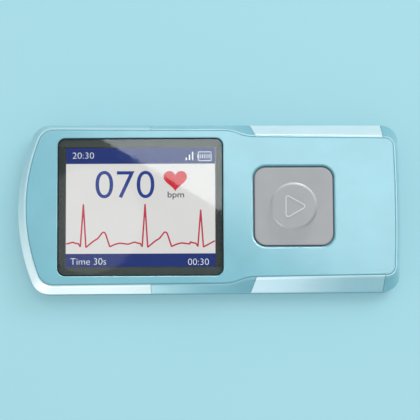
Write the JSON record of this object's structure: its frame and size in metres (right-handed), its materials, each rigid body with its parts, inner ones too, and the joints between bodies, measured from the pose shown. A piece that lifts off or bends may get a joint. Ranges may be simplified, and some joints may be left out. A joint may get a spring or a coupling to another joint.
{
  "type": "ecg home monitor",
  "caption": "Flat handheld heart monitor: bowed case with a glossy bevelled rim, dry metal electrodes, a colour display window and a square start key.",
  "frame": {"origin": "middle of the case outline, on the flat back that it rests on", "axes": "+X along the case toward the key end, +Y across the case toward its upper long side, +Z out of the display"},
  "size_m": [0.1024, 0.0456, 0.015],
  "materials": {
    "case_plastic": "satin",
    "rim_plastic": "gloss",
    "cover_plastic": "satin",
    "electrode_metal": "polished",
    "window_glass": "gloss",
    "black_rubber": "matte",
    "display_glass": "gloss",
    "backlight_metal": "satin",
    "dark_plastic": "matte",
    "flex_film": "satin",
    "ivory_plastic": "matte",
    "key_plastic": "satin",
    "board_laminate": "satin",
    "plated_steel": "satin",
    "spring_brass": "polished",
    "battery_foil": "satin",
    "foam_pad": "matte",
    "lead_sleeve": "satin"
  },
  "bodies": {
    "case": {"rear_shell": "case_plastic", "rim_frame": "rim_plastic", "front_cover": "cover_plastic", "left_electrode": "electrode_metal", "upper_electrode": "electrode_metal", "lower_electrode": "electrode_metal", "window_lens": "window_glass", "lens_gasket": "black_rubber", "display_panel": "display_glass", "display_backlight": "backlight_metal", "display_carrier": "dark_plastic", "display_flex": "flex_film", "flex_socket": "ivory_plastic", "key_guide": "dark_plastic", "key_bumpers": "black_rubber", "switch_body": "dark_plastic", "main_board": "board_laminate", "processor": "dark_plastic", "heart_amplifier": "dark_plastic", "radio_shield": "plated_steel", "buzzer": "dark_plastic", "usb_socket": "plated_steel", "left_contact": "spring_brass", "upper_contact": "spring_brass", "lower_contact": "spring_brass", "battery": "battery_foil", "battery_pad": "foam_pad", "battery_leads": "lead_sleeve", "battery_plug": "ivory_plastic", "case_screws": "plated_steel"},
    "key": {"start_key": "key_plastic"},
    "plunger": {"switch_plunger": "ivory_plastic"}
  },
  "joints": [
    {"name": "key_press", "type": "slide", "parent": "case", "child": "key", "axis": [0, 0, -1], "range_m": [0, 0.0004], "stiffness_N_per_m": 1500, "springref_m": -0.0004},
    {"name": "plunger_press", "type": "slide", "parent": "case", "child": "plunger", "axis": [0, 0, -1], "range_m": [0, 0.0004]}
  ],
  "couplings": [
    {"joint": "plunger_press", "follows": "key_press", "ratio": 1}
  ]
}
